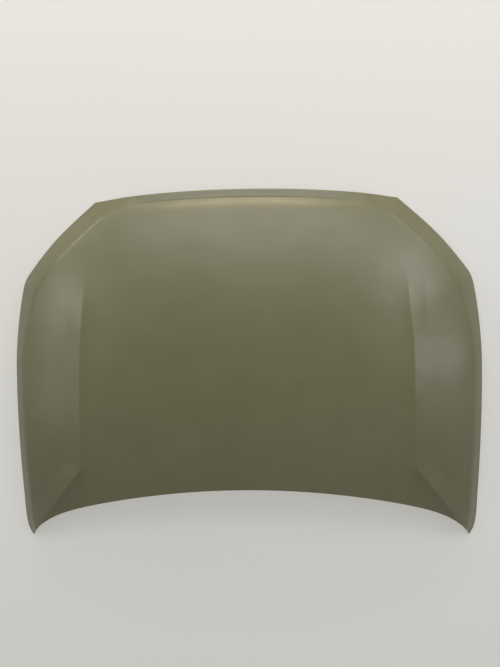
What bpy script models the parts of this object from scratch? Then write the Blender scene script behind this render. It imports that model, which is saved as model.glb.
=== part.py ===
# Car bonnet
# A pressed steel bonnet: a hemmed outer skin, a ribbed inner panel, hinge, stay
# and latch reinforcements with weld nuts, the striker and the mastic pads.
# Units are metres. X runs across, +Y to the car's front, +Z up.

import math

import bmesh
import bpy
from mathutils import Vector

# Overall plan size, right half, measured from the middle of the length
HALF_WIDTH = 0.740
HALF_LENGTH = 0.5605

# Outline in plan: places along the side are shares of the half width and half length
NOSE_Y = HALF_LENGTH
CORNER_X = 0.6568 * HALF_WIDTH
CORNER_Y = 0.9527 * HALF_LENGTH
NOSE_BOW_POWER = 2.1
TIP_X = 0.9730 * HALF_WIDTH
SIDE_SHARES = [
    (0.8189, 0.7475),
    (0.9365, 0.5638),
    (0.9676, 0.5013),
    (0.9804, 0.4246),
    (0.9885, 0.2962),
    (0.9932, 0.1070),
    (0.9953, -0.1070),
    (0.9959, -0.3925),
    (0.9980, -0.7136),
    (1.0000, -0.8689),
    (0.9932, -0.9491),
]
REAR_BOW = 0.1244
TIP_HOOK = 0.0711
TIP_HOOK_POWER = 11.0
REAR_Y = REAR_BOW + TIP_HOOK - HALF_LENGTH

# Height of the main form: how far it falls from the crown to each edge
CROWN = 0.147
CROWN_Y = -0.0535 * HALF_LENGTH
NOSE_FALL = 0.0959
TIP_FALL = 0.0647
SIDE_FALL = 0.0394
SHOULDER_FALL = 0.0525
FRONT_CORNER_FALL = 0.0370

# Chamfered band inside the side and front corner edges
NOSE_BAND = 0.033
REAR_BAND = 0.026
CORNER_BAND = 0.067
SIDE_BAND = 0.037
BAND_SLOPE = 0.48
BAND_SOFT = 0.018

# Crisp nose ridge with its recessed lip
LIP_END_X = 0.885 * CORNER_X
LIP_FULL_X = 0.617 * CORNER_X
LIP_FACE = 0.006
LIP_STEP = 0.010
LIP_LEDGE = 0.004
LIP_ROLL = 0.011
LIP_ROLL_FALL = 0.007

# Power crease, front to rear, as shares of the half width and half length
CREASE_SHARES = [
    (0.6486, 0.5888),
    (0.6608, 0.4478),
    (0.6709, 0.1686),
    (0.6784, -0.1552),
    (0.6899, -0.5263),
    (0.8108, -0.7315),
    (0.9027, -0.8867),
]
CREASE_HEIGHT = 0.007
CREASE_FADE_IN = 0.428 * HALF_LENGTH
CREASE_VALLEY = 0.022
CREASE_BAND = 0.048
WING_RISE = 0.30
WING_FADE = 0.110

# Sheet metal
SKIN_T = 0.00075
INNER_T = 0.00065
GAP = 0.0003
HEM = 0.011
HEM_RETURN = 0.0095
INNER_EDGE = 0.0022
FOLD_R = (SKIN_T + INNER_T) / 2 + GAP
FOLD_STEPS = 3

# Inner panel levels, measured down from the skin
DEEP = 0.025
LAND = 0.0047
WALL_TOP = 0.009
WALL_MID = 0.019

# Grid columns, as fractions of the distance from the centreline to the crease
CREASE_COLUMNS = [0, 0.036, 0.072, 0.2, 0.328, 0.364, 0.436, 0.472, 0.6, 0.728,
                  0.764, 0.836, 0.872, 0.944, 1.0]
# Grid columns between the crease and the band inside the side edge
WING_COLUMNS = [0.24, 0.40, 0.62, 1.0]
# Grid rows, as shares of the centreline between the rear and the front band
ROW_SHARES = [0, 0.0370, 0.0824, 0.1576, 0.2328, 0.2543, 0.3021, 0.3236, 0.3988, 0.4740,
              0.4955, 0.5433, 0.5648, 0.6400, 0.7152, 0.8012, 0.8967, 1.0]
KINK_ROW = 3
LAND_COLUMNS = (0, 1, 5, 6, 10, 11)
LAND_ROWS = (5, 6, 10, 11)
HOLE_COLUMNS = ((2, 4), (7, 9), (12, 16))
HOLE_ROWS = ((2, 4), (7, 9), (12, 14))
CLOSED_BY_HINGE = ((12, 16), (2, 4))
MITRE_REACH = 0.54 * HALF_WIDTH
NOSE_CREASE_X = 0.823 * CORNER_X
REAR_CREASE_X = 0.8639 * TIP_X
RAIL_BEND = (0.6189, 0.7136)

# Plates, nuts, bolts and striker
PLATE_T = 0.002
PLATE_EDGE = 0.002
NUT_AF = 0.014
NUT_H = 0.0065
THREAD_D = 0.008
NUT_BORE = THREAD_D + 2 * GAP
BOLT_AF = 0.013
BOLT_HEAD = 0.0055
BOLT_FLANGE_D = 0.018
BOLT_FLANGE_T = 0.0015
HOLE_D = THREAD_D + 0.003
STRIKER_T = 0.003
STRIKER_SIZE = (0.116, 0.046)
LOOP_D = 0.008
LOOP_SPAN = 0.036
LOOP_DROP = 0.040
LOOP_BEND = 0.009
MASTIC_D = 0.026
BORE_SIDES = 20
CUTTER_LENGTH = 0.034
PLATE_CORNER = 0.005

# Flat pads in the inner panel: centre x, centre y, width, length
HINGE_HOLE_PITCH = 0.070
HINGE_PAD = (HALF_WIDTH - 0.094, 0.2155 - HALF_LENGTH, 0.036, HINGE_HOLE_PITCH + 0.040)
STAY_PAD = (HALF_WIDTH - 0.108, 0.170 * HALF_LENGTH, 0.036, 0.070)
LATCH_PAD = (0.0, NOSE_Y - 0.0985, STRIKER_SIZE[0] + 0.008, STRIKER_SIZE[1] + 0.004)
LATCH_HOLE_PITCH = STRIKER_SIZE[0] - BOLT_FLANGE_D - 0.006
PAD_RIM = 0.010
PAD_SNAP = 0.004
PAD_REACH = PAD_RIM + PAD_SNAP

LAST_COLUMN = len(CREASE_COLUMNS) - 1 + len(WING_COLUMNS)
LAST_ROW = len(ROW_SHARES) - 1
CREASE_COLUMN = len(CREASE_COLUMNS) - 1
rest = {"level": 0.0, "pitch": 0.0}


def smooth(t):
    t = min(max(t, 0.0), 1.0)
    return t * t * (3.0 - 2.0 * t)


def linear(value):
    value /= 255.0
    return value / 12.92 if value <= 0.04045 else ((value + 0.055) / 1.055) ** 2.4


def make_material(name, rgb, roughness, metallic):
    material = bpy.data.materials.new(name)
    material.use_nodes = True
    shader = material.node_tree.nodes["Principled BSDF"]
    colour = [linear(v) for v in rgb] + [1.0]
    shader.inputs["Base Color"].default_value = colour
    shader.inputs["Roughness"].default_value = roughness
    shader.inputs["Metallic"].default_value = metallic
    material.diffuse_color = colour
    return material


# Outline curves

def nose_edge(x):
    return NOSE_Y - (NOSE_Y - CORNER_Y) * (x / CORNER_X) ** NOSE_BOW_POWER


def rear_edge(x):
    across = x / TIP_X
    return REAR_Y - REAR_BOW * across ** 2 - TIP_HOOK * across ** TIP_HOOK_POWER


def from_shares(shares):
    return [Vector((x * HALF_WIDTH, y * HALF_LENGTH)) for x, y in shares]


def side_curve(steps=12):
    points = [Vector((CORNER_X, CORNER_Y))] + from_shares(SIDE_SHARES)
    points.append(Vector((TIP_X, -HALF_LENGTH)))
    ends = [2 * points[0] - points[1]] + points + [2 * points[-1] - points[-2]]
    curve = []
    for k in range(1, len(ends) - 2):
        a, b, c, d = ends[k - 1:k + 3]
        for s in range(steps):
            t = s / steps
            curve.append(0.5 * (2 * b + (c - a) * t + (2 * a - 5 * b + 4 * c - d) * t * t
                                + (3 * b - a - 3 * c + d) * t ** 3))
    return curve + [points[-1]]


def along(curve, fraction):
    lengths = [(b - a).length for a, b in zip(curve, curve[1:])]
    left = fraction * sum(lengths)
    for a, b, length in zip(curve, curve[1:], lengths):
        if left <= length:
            return a.lerp(b, left / length)
        left -= length
    return curve[-1].copy()


SIDE = side_curve()


def nose_band(x):
    return NOSE_BAND + (CORNER_BAND - NOSE_BAND) * smooth((x / CORNER_X - 0.70) / 0.30)


def side_band(y):
    return SIDE_BAND + (CORNER_BAND - SIDE_BAND) * smooth((y / HALF_LENGTH - 0.036) / 0.428)


def lip_share(x):
    return 1.0 - smooth((x - LIP_FULL_X) / (LIP_END_X - LIP_FULL_X))


def rim_samples():
    nose = [i / 40 * CORNER_X for i in range(40)]
    rows = [(Vector((x, nose_edge(x))), nose_band(x), lip_share(x)) for x in nose]
    rows += [(p, side_band(p.y), 0.0) for p in SIDE]
    return rows


RIM = rim_samples()


def nearest(point, chain):
    best = None
    for k in range(len(chain) - 1):
        a, b = chain[k], chain[k + 1]
        run = b - a
        t = min(max((point - a).dot(run) / run.dot(run), 0.0), 1.0)
        gap = (point - a - run * t).length
        if best is None or gap < best[0] - 1e-9:
            best = (gap, k, t)
    return best


# Height of the skin's middle surface

def lip_fall(d):
    foot = NOSE_BAND - LIP_FACE
    if d >= NOSE_BAND:
        return 0.0
    if d >= foot:
        return LIP_STEP * (NOSE_BAND - d) / LIP_FACE
    if d >= LIP_ROLL:
        return LIP_STEP + LIP_LEDGE * (foot - d) / (foot - LIP_ROLL)
    roll = 1.0 - d / LIP_ROLL
    return LIP_STEP + LIP_LEDGE + LIP_ROLL_FALL * roll * roll


def band_fall(d, width):
    depth = width - d
    if depth <= -BAND_SOFT:
        return 0.0
    if depth >= BAND_SOFT:
        return BAND_SLOPE * depth
    return BAND_SLOPE * (depth + BAND_SOFT) ** 2 / (4.0 * BAND_SOFT)


RIM_LINE = [row[0] for row in RIM]


def edge_fall(point):
    gap, k, t = nearest(point, RIM_LINE)
    width = RIM[k][1] * (1 - t) + RIM[k + 1][1] * t
    share = RIM[k][2] * (1 - t) + RIM[k + 1][2] * t
    fall = (1 - share) * band_fall(gap, width)
    if share > 0:
        fall += share * lip_fall(gap)
    return fall


CREASE = from_shares(CREASE_SHARES)


def crease_rise(point):
    gap, k, t = nearest(point, CREASE)
    run = CREASE[k + 1] - CREASE[k]
    offset = point - CREASE[k]
    outboard = run.x * offset.y - run.y * offset.x > 0
    done = sum((CREASE[i + 1] - CREASE[i]).length for i in range(k)) + t * run.length
    full = CREASE_HEIGHT * smooth(done / CREASE_FADE_IN)
    if not outboard:
        return full * math.exp(-gap / CREASE_VALLEY)
    share = WING_RISE + (1 - WING_RISE) * max(0.0, 1.0 - gap / CREASE_BAND)
    return full * share * (1.0 - smooth((gap - CREASE_BAND) / WING_FADE))


def height(x, y):
    point = Vector((abs(x), y))
    if y > CROWN_Y:
        z = CROWN - NOSE_FALL * ((y - CROWN_Y) / (NOSE_Y - CROWN_Y)) ** 2
    else:
        z = CROWN - TIP_FALL * ((y - CROWN_Y) / (HALF_LENGTH + CROWN_Y)) ** 2
    across = point.x / HALF_WIDTH
    z -= SIDE_FALL * across ** 2 + SHOULDER_FALL * across ** 6
    if y > 0:
        z -= FRONT_CORNER_FALL * across ** 2 * (y / NOSE_Y) ** 3
    z += crease_rise(point) - edge_fall(point)
    return z + rest["level"] + rest["pitch"] * y


def on_skin(point):
    return Vector((point.x, point.y, height(point.x, point.y)))


# Plan grid shared by the skin and the inner panel

def column_x(i, crease_x, end_x):
    if i <= CREASE_COLUMN:
        return CREASE_COLUMNS[i] * crease_x
    return crease_x + WING_COLUMNS[i - CREASE_COLUMN - 1] * (end_x - crease_x)


def rim_points():
    points, bands = [], []
    for i in range(LAST_COLUMN):
        x = column_x(i, NOSE_CREASE_X, CORNER_X)
        points.append(Vector((x, nose_edge(x))))
        bands.append(nose_band(x))
    for j in range(LAST_ROW, -1, -1):
        p = along(SIDE, 1.0 - ROW_SHARES[j])
        points.append(p)
        bands.append(side_band(p.y))
    bands[-1] = 0.5 * (SIDE_BAND + REAR_BAND)
    for i in range(LAST_COLUMN - 1, -1, -1):
        x = column_x(i, REAR_CREASE_X, TIP_X)
        points.append(Vector((x, rear_edge(x))))
        bands.append(REAR_BAND)
    return points, bands


def inward_vectors(points):
    flip = Vector((-1, 1))
    chain = [points[1] * flip] + points + [points[-2] * flip]
    found = []
    for before, here, after in zip(chain, chain[1:], chain[2:]):
        a = (here - before).normalized()
        b = (after - here).normalized()
        na = Vector((a.y, -a.x))
        nb = Vector((b.y, -b.x))
        found.append((na + nb) / (1.0 + na.dot(nb)))
    for corner in (LAST_COLUMN, LAST_COLUMN + LAST_ROW):
        slide_towards(found, points, corner)
    return found


def slide_towards(found, points, corner):
    mitre = found[corner].copy()
    for step in (-1, 1):
        k, gone = corner + step, 0.0
        run = (points[k] - points[corner]).normalized()
        slide = mitre.dot(run)
        while 0 < k < len(points) - 1:
            here = (points[k] - points[k - step])
            gone += here.length
            if gone >= MITRE_REACH:
                break
            found[k] += here.normalized() * slide * (1.0 - gone / MITRE_REACH) ** 2
            k += step


RIM_POINTS, RIM_BANDS = rim_points()
INWARD = inward_vectors(RIM_POINTS)


def rim_at(k, distance):
    p = RIM_POINTS[k] + INWARD[k] * distance
    if k in (0, len(RIM_POINTS) - 1):
        p.x = 0.0
    return p


def crease_rail():
    nose = rim_at(CREASE_COLUMN, RIM_BANDS[CREASE_COLUMN] + BAND_SOFT)
    rear = len(RIM_POINTS) - 1 - CREASE_COLUMN
    tail = rim_at(rear, RIM_BANDS[rear] + BAND_SOFT)
    front = [nose] + from_shares([RAIL_BEND]) + CREASE[1:5]
    kink = ROW_SHARES[KINK_ROW]
    rail = []
    for j in range(LAST_ROW + 1):
        t = ROW_SHARES[j]
        if t <= kink:
            rail.append(tail.lerp(front[-1], t / kink))
        else:
            rail.append(along(front, 1.0 - (t - kink) / (1.0 - kink)))
    return rail


def coons(bottom, top, left, right, us, vs):
    grid = []
    for j, v in enumerate(vs):
        row = []
        for i, u in enumerate(us):
            p = bottom[i].lerp(top[i], v) + left[j].lerp(right[j], u)
            p -= bottom[0].lerp(bottom[-1], u).lerp(top[0].lerp(top[-1], u), v)
            row.append(p)
        grid.append(row)
    return grid


def plan_grid():
    edge = [rim_at(k, RIM_BANDS[k] + BAND_SOFT) for k in range(len(RIM_POINTS))]
    top = edge[:LAST_COLUMN + 1]
    side = edge[LAST_COLUMN:LAST_COLUMN + LAST_ROW + 1][::-1]
    bottom = edge[LAST_COLUMN + LAST_ROW:][::-1]
    middle = [bottom[0].lerp(top[0], share) for share in ROW_SHARES]
    rail = crease_rail()
    c = CREASE_COLUMN
    inner = coons(bottom[:c + 1], top[:c + 1], middle, rail, CREASE_COLUMNS, ROW_SHARES)
    wing = coons(bottom[c:], top[c:], rail, side, [0.0] + WING_COLUMNS, ROW_SHARES)
    return [a + b[1:] for a, b in zip(inner, wing)]


def grid_rim(rows):
    c = LAST_COLUMN
    loop = [rows[LAST_ROW][i] for i in range(c)]
    loop += [rows[j][c] for j in range(LAST_ROW, -1, -1)]
    return loop + [rows[0][i] for i in range(c - 1, -1, -1)]


def hem_frames():
    frames = []
    last = len(RIM_POINTS) - 1
    start = SKIN_T / 2 + FOLD_R
    for k in range(last + 1):
        inner = on_skin(rim_at(k, HEM))
        outer = on_skin(rim_at(k, start))
        before = on_skin(rim_at(max(k - 1, 0), HEM / 2))
        after = on_skin(rim_at(min(k + 1, last), HEM / 2))
        if k == 0:
            before = Vector((-after.x, after.y, after.z))
        if k == last:
            after = Vector((-before.x, before.y, before.z))
        down = (inner - outer).cross(after - before).normalized()
        if down.z > 0:
            down.negate()
        out = (outer - inner)
        out = (out - down * out.dot(down)).normalized() * INWARD[k].length
        frames.append((inner, outer, down, out))
    return frames


def hem_share(distance):
    start = SKIN_T / 2 + FOLD_R
    return (distance - start) / (HEM - start)


def bridge(bm, inner, outer, split=0):
    for k in range(len(inner) - 1):
        a, b, c, d = inner[k], inner[k + 1], outer[k + 1], outer[k]
        if split == 1:
            bm.faces.new((a, b, c))
            bm.faces.new((a, c, d))
        elif split == 2:
            bm.faces.new((a, b, d))
            bm.faces.new((b, c, d))
        else:
            bm.faces.new((a, b, c, d))


def fill_grid(bm, verts, holes):
    for j in range(LAST_ROW):
        for i in range(LAST_COLUMN):
            if (i, j) not in holes:
                bm.faces.new((verts[j][i], verts[j][i + 1], verts[j + 1][i + 1], verts[j + 1][i]))


def add_loop(bm, points):
    points[0].x = 0.0
    points[-1].x = 0.0
    return [bm.verts.new(p) for p in points]


def half_object(name, bm, thickness, material):
    bmesh.ops.recalc_face_normals(bm, faces=bm.faces)
    mesh = bpy.data.meshes.new(name)
    bm.to_mesh(mesh)
    bm.free()
    obj = bpy.data.objects.new(name, mesh)
    mesh.materials.append(material)
    mirror = obj.modifiers.new("mirror", "MIRROR")
    mirror.use_axis = (True, False, False)
    mirror.merge_threshold = 0.00001
    shell = obj.modifiers.new("sheet", "SOLIDIFY")
    shell.thickness = thickness
    shell.offset = 0.0
    shell.use_even_offset = True
    shell.use_quality_normals = True
    return obj


def skin_mesh():
    bm = bmesh.new()
    rows = plan_grid()
    verts = [[bm.verts.new(on_skin(p)) for p in row] for row in rows]
    fill_grid(bm, verts, ())
    ring = grid_rim(verts)
    count = range(len(RIM_POINTS))
    for share in (1.0, 0.78):
        points = [on_skin(rim_at(k, RIM_BANDS[k] * share)) for k in count]
        outer = add_loop(bm, points)
        bridge(bm, ring, outer)
        ring = outer
    frames = hem_frames()
    loops = [[f[0] for f in frames], [f[1] for f in frames]]
    for s in range(1, FOLD_STEPS):
        angle = math.pi * s / FOLD_STEPS
        up, out = math.cos(angle), math.sin(angle)
        loops.append([f[1] + f[2] * FOLD_R * (1 - up) + f[3] * FOLD_R * out for f in frames])
    back = hem_share(HEM_RETURN)
    loops.append([f[1] + f[2] * FOLD_R * 2 for f in frames])
    loops.append([f[1].lerp(f[0], back) + f[2] * FOLD_R * 2 for f in frames])
    splits = [0, 1] + [0] * FOLD_STEPS + [2]
    for points, split in zip(loops, splits):
        outer = add_loop(bm, [p.copy() for p in points])
        bridge(bm, ring, outer, split)
        ring = outer
    return bm


def settle(material):
    for _ in range(4):
        obj = half_object("trial", skin_mesh(), SKIN_T, material)
        bpy.context.scene.collection.objects.link(obj)
        seen = obj.evaluated_get(bpy.context.evaluated_depsgraph_get())
        mesh = bpy.data.meshes.new_from_object(seen)
        front = min((v.co.z, v.co.y) for v in mesh.vertices if v.co.y > 0)
        rear = min((v.co.z, v.co.y) for v in mesh.vertices if v.co.y < 0)
        pitch = (front[0] - rear[0]) / (front[1] - rear[1])
        rest["pitch"] -= pitch
        rest["level"] -= front[0] - pitch * front[1]
        bpy.data.objects.remove(obj)
        bpy.data.meshes.remove(mesh)


# Inner panel

def hole_cells():
    cells = set()
    for columns in HOLE_COLUMNS:
        for rows in HOLE_ROWS:
            if (columns, rows) != CLOSED_BY_HINGE:
                cells.update((i, j) for i in range(*columns) for j in range(*rows))
    return cells


def inner_drop(i, j):
    rib_column = i in LAND_COLUMNS and HOLE_ROWS[0][0] <= j <= HOLE_ROWS[-1][1]
    rib_row = j in LAND_ROWS and i <= HOLE_COLUMNS[-1][1] - 1
    return LAND if rib_column or rib_row else DEEP


def inner_point(plan, i, j):
    p = on_skin(plan)
    p.z -= inner_drop(i, j)
    return p


def pad_level(pad):
    return height(pad[0], pad[1]) - DEEP


def faces_near(bm, pad):
    x, y, width, length = pad
    wide, long = width / 2 + PAD_REACH, length / 2 + PAD_REACH
    return [f for f in bm.faces
            if min(v.co.x for v in f.verts) < x + wide and max(v.co.x for v in f.verts) > x - wide
            and min(v.co.y for v in f.verts) < y + long and max(v.co.y for v in f.verts) > y - long]


def slice_at(bm, pad, axis, at):
    faces = faces_near(bm, pad)
    edges = {e for f in faces for e in f.edges}
    corners = {v for f in faces for v in f.verts}
    place, normal = Vector((0, 0, 0)), Vector((0, 0, 0))
    place[axis], normal[axis] = at, 1.0
    for v in corners:
        if abs(v.co[axis] - at) < PAD_SNAP:
            v.co[axis] = at
    bmesh.ops.bisect_plane(bm, geom=faces + list(edges) + list(corners),
                           dist=0.00002, plane_co=place, plane_no=normal)


def press_pad(bm, pad):
    x, y, width, length = pad
    for grow in (0.0, PAD_RIM):
        for side in (-1, 1):
            for axis, middle, size in ((0, x, width), (1, y, length)):
                at = middle + side * (size / 2 + grow)
                if axis == 1 or at > 0.001:
                    slice_at(bm, pad, axis, at)
    for v in bm.verts:
        if abs(v.co.x - x) < width / 2 + GAP and abs(v.co.y - y) < length / 2 + GAP:
            v.co.z = pad_level(pad)


def inner_mesh():
    bm = bmesh.new()
    rows = plan_grid()
    verts = [[bm.verts.new(inner_point(p, i, j)) for i, p in enumerate(row)]
             for j, row in enumerate(rows)]
    fill_grid(bm, verts, hole_cells())
    ring = grid_rim(verts)
    for share, drop in ((1.0, WALL_MID), (0.78, WALL_TOP)):
        points = []
        for k in range(len(RIM_POINTS)):
            p = on_skin(rim_at(k, RIM_BANDS[k] * share))
            p.z -= drop
            points.append(p)
        outer = add_loop(bm, points)
        bridge(bm, ring, outer)
        ring = outer
    frames = hem_frames()
    for distance, split in ((HEM, 0), (INNER_EDGE, 1)):
        share = hem_share(distance)
        points = [f[1].lerp(f[0], share) + f[2] * FOLD_R for f in frames]
        outer = add_loop(bm, points)
        bridge(bm, ring, outer, split)
        ring = outer
    for pad in (HINGE_PAD, STAY_PAD, LATCH_PAD):
        press_pad(bm, pad)
    loose = [v for v in bm.verts if not v.link_faces]
    bmesh.ops.delete(bm, geom=loose, context="VERTS")
    return bm


# Small pieces

def link(obj, collection, parent=None):
    collection.objects.link(obj)
    obj.parent = parent
    return obj


def mesh_object(name, bm, material):
    mesh = bpy.data.meshes.new(name)
    bm.to_mesh(mesh)
    bm.free()
    if material:
        mesh.materials.append(material)
    return bpy.data.objects.new(name, mesh)


def cut(obj, cutter):
    modifier = obj.modifiers.new("holes", "BOOLEAN")
    modifier.operation = "DIFFERENCE"
    modifier.solver = "EXACT"
    modifier.object = cutter


def drilled_places():
    places = []
    for side in (-1, 1):
        for end in (-1, 1):
            y = HINGE_PAD[1] + end * HINGE_HOLE_PITCH / 2
            places.append((side * HINGE_PAD[0], y, pad_level(HINGE_PAD)))
        places.append((side * STAY_PAD[0], STAY_PAD[1], pad_level(STAY_PAD)))
        places.append((side * LATCH_HOLE_PITCH / 2, LATCH_PAD[1], pad_level(LATCH_PAD)))
    return places


def drill(name, diameter, collection):
    bm = bmesh.new()
    for place in drilled_places():
        made = bmesh.ops.create_cone(bm, cap_ends=True, segments=BORE_SIDES, depth=CUTTER_LENGTH,
                                     radius1=diameter / 2, radius2=diameter / 2)
        bmesh.ops.translate(bm, verts=made["verts"], vec=place)
    obj = link(mesh_object(name, bm, None), collection)
    obj.hide_render = True
    obj.display_type = "WIRE"
    return obj


def plate(name, size, thickness, place, material):
    bm = bmesh.new()
    bmesh.ops.create_cube(bm, size=1.0)
    bmesh.ops.scale(bm, vec=(size[0], size[1], thickness), verts=bm.verts)
    upright = [e for e in bm.edges if abs(e.verts[0].co.z - e.verts[1].co.z) > thickness / 2]
    bmesh.ops.bevel(bm, geom=upright, offset=PLATE_CORNER, segments=3, affect="EDGES", profile=0.5)
    obj = mesh_object(name, bm, material)
    obj.location = place
    return obj


def weld_nut(name, place, material):
    bm = bmesh.new()
    radius = NUT_AF / 2 / math.cos(math.pi / 6)
    bmesh.ops.create_cone(bm, cap_ends=True, segments=6, depth=NUT_H, radius1=radius, radius2=radius)
    obj = mesh_object(name, bm, material)
    obj.location = place
    return obj


def flange_bolt(name, place, length, material):
    bm = bmesh.new()
    radius = BOLT_AF / 2 / math.cos(math.pi / 6)
    bmesh.ops.create_cone(bm, cap_ends=True, segments=6, depth=BOLT_HEAD, radius1=radius, radius2=radius)
    bmesh.ops.translate(bm, verts=bm.verts, vec=(0, 0, -BOLT_HEAD / 2 - BOLT_FLANGE_T / 2))
    head = mesh_object(name + "_head", bm, material)
    bm = bmesh.new()
    bmesh.ops.create_circle(bm, cap_ends=True, segments=BORE_SIDES, radius=BOLT_FLANGE_D / 2)
    bmesh.ops.translate(bm, verts=bm.verts, vec=(0, 0, -BOLT_FLANGE_T))
    base = bm.faces[:]
    grown = bmesh.ops.extrude_face_region(bm, geom=base)
    raised = [v for v in grown["geom"] if isinstance(v, bmesh.types.BMVert)]
    bmesh.ops.translate(bm, verts=raised, vec=(0, 0, BOLT_FLANGE_T))
    top = [f for f in grown["geom"] if isinstance(f, bmesh.types.BMFace)]
    bmesh.ops.inset_region(bm, faces=top, thickness=(BOLT_FLANGE_D - THREAD_D) / 2)
    shank = bmesh.ops.extrude_face_region(bm, geom=top)
    bmesh.ops.delete(bm, geom=top, context="FACES_ONLY")
    raised = [v for v in shank["geom"] if isinstance(v, bmesh.types.BMVert)]
    bmesh.ops.translate(bm, verts=raised, vec=(0, 0, length))
    bmesh.ops.recalc_face_normals(bm, faces=bm.faces)
    body = mesh_object(name, bm, material)
    join = body.modifiers.new("head", "BOOLEAN")
    join.operation = "UNION"
    join.solver = "EXACT"
    join.object = head
    for obj in (head, body):
        obj.location = place
    return body, head


def striker_wire(name, place, material):
    curve = bpy.data.curves.new(name, "CURVE")
    curve.dimensions = "3D"
    curve.bevel_depth = LOOP_D / 2
    curve.bevel_resolution = 3
    curve.resolution_u = 6
    curve.use_fill_caps = True
    half, low = LOOP_SPAN / 2, -LOOP_DROP
    path = [(-half, 0), (-half, low + LOOP_BEND)]
    for s in range(1, 5):
        angle = math.pi / 2 * s / 4
        path.append((-half + LOOP_BEND * (1 - math.cos(angle)), low + LOOP_BEND * (1 - math.sin(angle))))
    path += [(-x, z) for x, z in path[::-1]]
    spline = curve.splines.new("POLY")
    spline.points.add(len(path) - 1)
    for point, (x, z) in zip(spline.points, path):
        point.co = (0.0, x, z, 1.0)
    curve.materials.append(material)
    obj = bpy.data.objects.new(name, curve)
    obj.location = place
    return obj


def mastic(name, rows, column, row, mirrored, material):
    corners = [rows[row][column], rows[row][column + 1], rows[row + 1][column + 1], rows[row + 1][column]]
    top = [on_skin(p) for p in corners]
    if column == 0:
        run = top[3] - top[0]
        centre = (top[0] + top[3]) / 2
        normal = Vector((0, -run.z, run.y)).normalized()
    else:
        centre = sum(top, Vector()) / 4
        normal = (top[2] - top[0]).cross(top[3] - top[1]).normalized()
    if normal.z < 0:
        normal.negate()
    if mirrored:
        centre.x, normal.x = -centre.x, -normal.x
    thick = LAND * normal.z - SKIN_T / 2 - INNER_T / 2 - 2 * GAP
    bm = bmesh.new()
    bmesh.ops.create_cone(bm, cap_ends=True, segments=BORE_SIDES, depth=thick,
                          radius1=MASTIC_D / 2, radius2=MASTIC_D / 2)
    obj = mesh_object(name, bm, material)
    obj.rotation_mode = "QUATERNION"
    obj.rotation_quaternion = Vector((0, 0, 1)).rotation_difference(normal)
    obj.location = centre - normal * (SKIN_T / 2 + GAP + thick / 2)
    return obj


# Assembly

ABOVE = INNER_T / 2 + GAP
NUT_ABOVE = ABOVE + PLATE_T + GAP + NUT_H / 2


def clear_scene():
    for obj in list(bpy.data.objects):
        bpy.data.objects.remove(obj)


def make_materials():
    return {
        "skin": make_material("olive_primer_skin", (100, 98, 72), 0.38, 0.0),
        "inner": make_material("olive_primer_inner", (96, 94, 70), 0.5, 0.0),
        "zinc": make_material("zinc_plated_steel", (168, 168, 164), 0.35, 0.9),
        "plate": make_material("primed_plate", (92, 90, 68), 0.5, 0.0),
        "mastic": make_material("anti_flutter_mastic", (48, 47, 44), 0.85, 0.0),
    }


def add_reinforcement(name, pad, side, group):
    size = (pad[2] - 2 * PLATE_EDGE, pad[3] - 2 * PLATE_EDGE)
    place = (side * pad[0], pad[1], pad_level(pad) + ABOVE + PLATE_T / 2)
    piece = plate(name, size, PLATE_T, place, group["looks"]["plate"])
    cut(link(piece, group["parts"], group["root"]), group["clear"])


def add_nut(name, pad, x, y, group):
    nut = weld_nut(name, (x, y, pad_level(pad) + NUT_ABOVE), group["looks"]["zinc"])
    cut(link(nut, group["parts"], group["root"]), group["bores"])


def add_side_fixings(side, tag, group):
    add_reinforcement("hinge_reinforcement_" + tag, HINGE_PAD, side, group)
    add_reinforcement("stay_reinforcement_" + tag, STAY_PAD, side, group)
    for end, where in ((-1, "rear"), (1, "front")):
        y = HINGE_PAD[1] + end * HINGE_HOLE_PITCH / 2
        add_nut("hinge_nut_" + tag + "_" + where, HINGE_PAD, side * HINGE_PAD[0], y, group)
    add_nut("stay_nut_" + tag, STAY_PAD, side * STAY_PAD[0], STAY_PAD[1], group)


def add_striker(group):
    zinc, level, y = group["looks"]["zinc"], pad_level(LATCH_PAD), LATCH_PAD[1]
    under = level - INNER_T / 2 - GAP
    seat = under - GAP - STRIKER_T
    reach = level + NUT_ABOVE + NUT_H / 2 - seat - GAP
    add_reinforcement("latch_reinforcement", LATCH_PAD, 0, group)
    for side, tag in ((-1, "left"), (1, "right")):
        x = side * LATCH_HOLE_PITCH / 2
        add_nut("latch_nut_" + tag, LATCH_PAD, x, y, group)
        bolt, head = flange_bolt("striker_bolt_" + tag, (x, y, seat - GAP), reach, zinc)
        link(bolt, group["parts"], group["root"])
        link(head, group["cutters"]).hide_render = True
        head.display_type = "WIRE"
    piece = plate("striker_plate", STRIKER_SIZE, STRIKER_T, (0, y, under - STRIKER_T / 2), zinc)
    cut(link(piece, group["parts"], group["root"]), group["bores"])
    link(striker_wire("striker_loop", (0, y, seat), zinc), group["parts"], group["root"])


def add_mastic_pads(group):
    rows = plan_grid()
    number = 1
    for row in LAND_ROWS[::2]:
        for column in LAND_COLUMNS[::2]:
            for mirrored in ((False,) if column == 0 else (True, False)):
                name = "mastic_pad_%02d" % number
                pad = mastic(name, rows, column, row, mirrored, group["looks"]["mastic"])
                link(pad, group["parts"], group["root"])
                number += 1


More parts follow.
